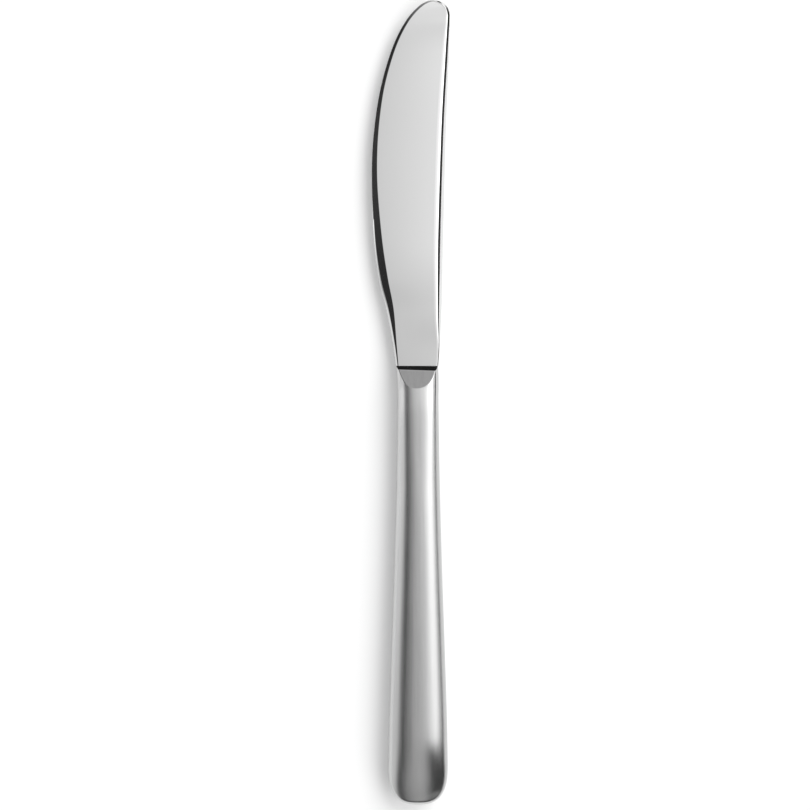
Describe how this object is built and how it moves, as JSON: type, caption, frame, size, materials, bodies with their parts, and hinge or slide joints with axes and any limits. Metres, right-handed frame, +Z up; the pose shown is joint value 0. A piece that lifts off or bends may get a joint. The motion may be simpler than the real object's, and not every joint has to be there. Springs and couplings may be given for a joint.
{
  "type": "butter knife",
  "caption": "Round-tipped steel table knife: polished blade with a curved belly, set in a satin hollow handle that widens to a rounded butt.",
  "frame": {"origin": "on the surface that the knife lies on, under the middle of its outline", "axes": "+Y from the butt to the tip, +X from the cutting edge to the spine, +Z up from the face that the knife rests on"},
  "size_m": [0.0224, 0.2299, 0.0091],
  "materials": {
    "polished_blade_steel": "mirror-polished stainless steel",
    "satin_handle_steel": "satin stainless steel, brushed lengthwise",
    "silver_braze": "pale brazing alloy, as cast",
    "grey_solder": "dull grey solder, as cast",
    "cast_filler": "cast cement, matte"
  },
  "bodies": {
    "root": {"blade": "polished_blade_steel", "handle_shell_upper": "satin_handle_steel", "handle_shell_lower": "satin_handle_steel", "seam_braze": "silver_braze", "neck_solder": "grey_solder", "handle_filler": "cast_filler"}
  },
  "joints": []
}
